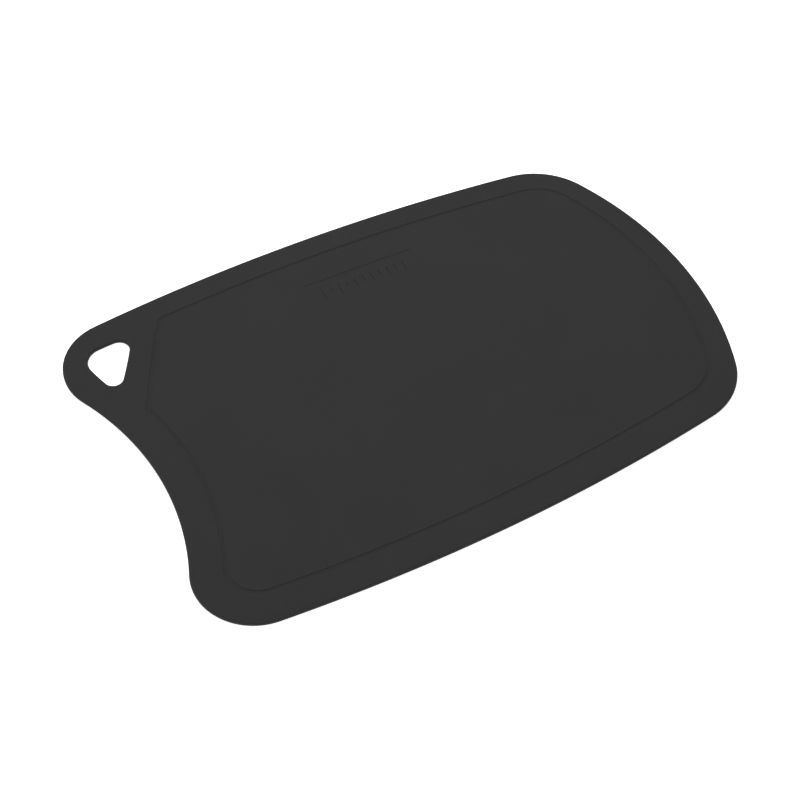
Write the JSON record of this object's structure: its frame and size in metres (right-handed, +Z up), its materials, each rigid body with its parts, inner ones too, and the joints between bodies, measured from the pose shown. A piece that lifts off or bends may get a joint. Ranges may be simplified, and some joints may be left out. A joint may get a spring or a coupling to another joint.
{
  "type": "cutting board",
  "caption": "Thin flexible plastic cutting board with bowed edges, one hollow end, a rounded triangular hang hole in a corner and a shallow juice groove.",
  "frame": {"origin": "underside of the board, below the centre of its outline's bounding box", "axes": "+X along the length, from the end with the hang hole to the far end; +Y to the long edge beside the hang hole; +Z up, out of the grooved face"},
  "size_m": [0.3747, 0.2588, 0.0025],
  "materials": {
    "black_plastic": "matt black with a fine moulded grain"
  },
  "bodies": {
    "root": {"board": "black_plastic"}
  },
  "joints": []
}
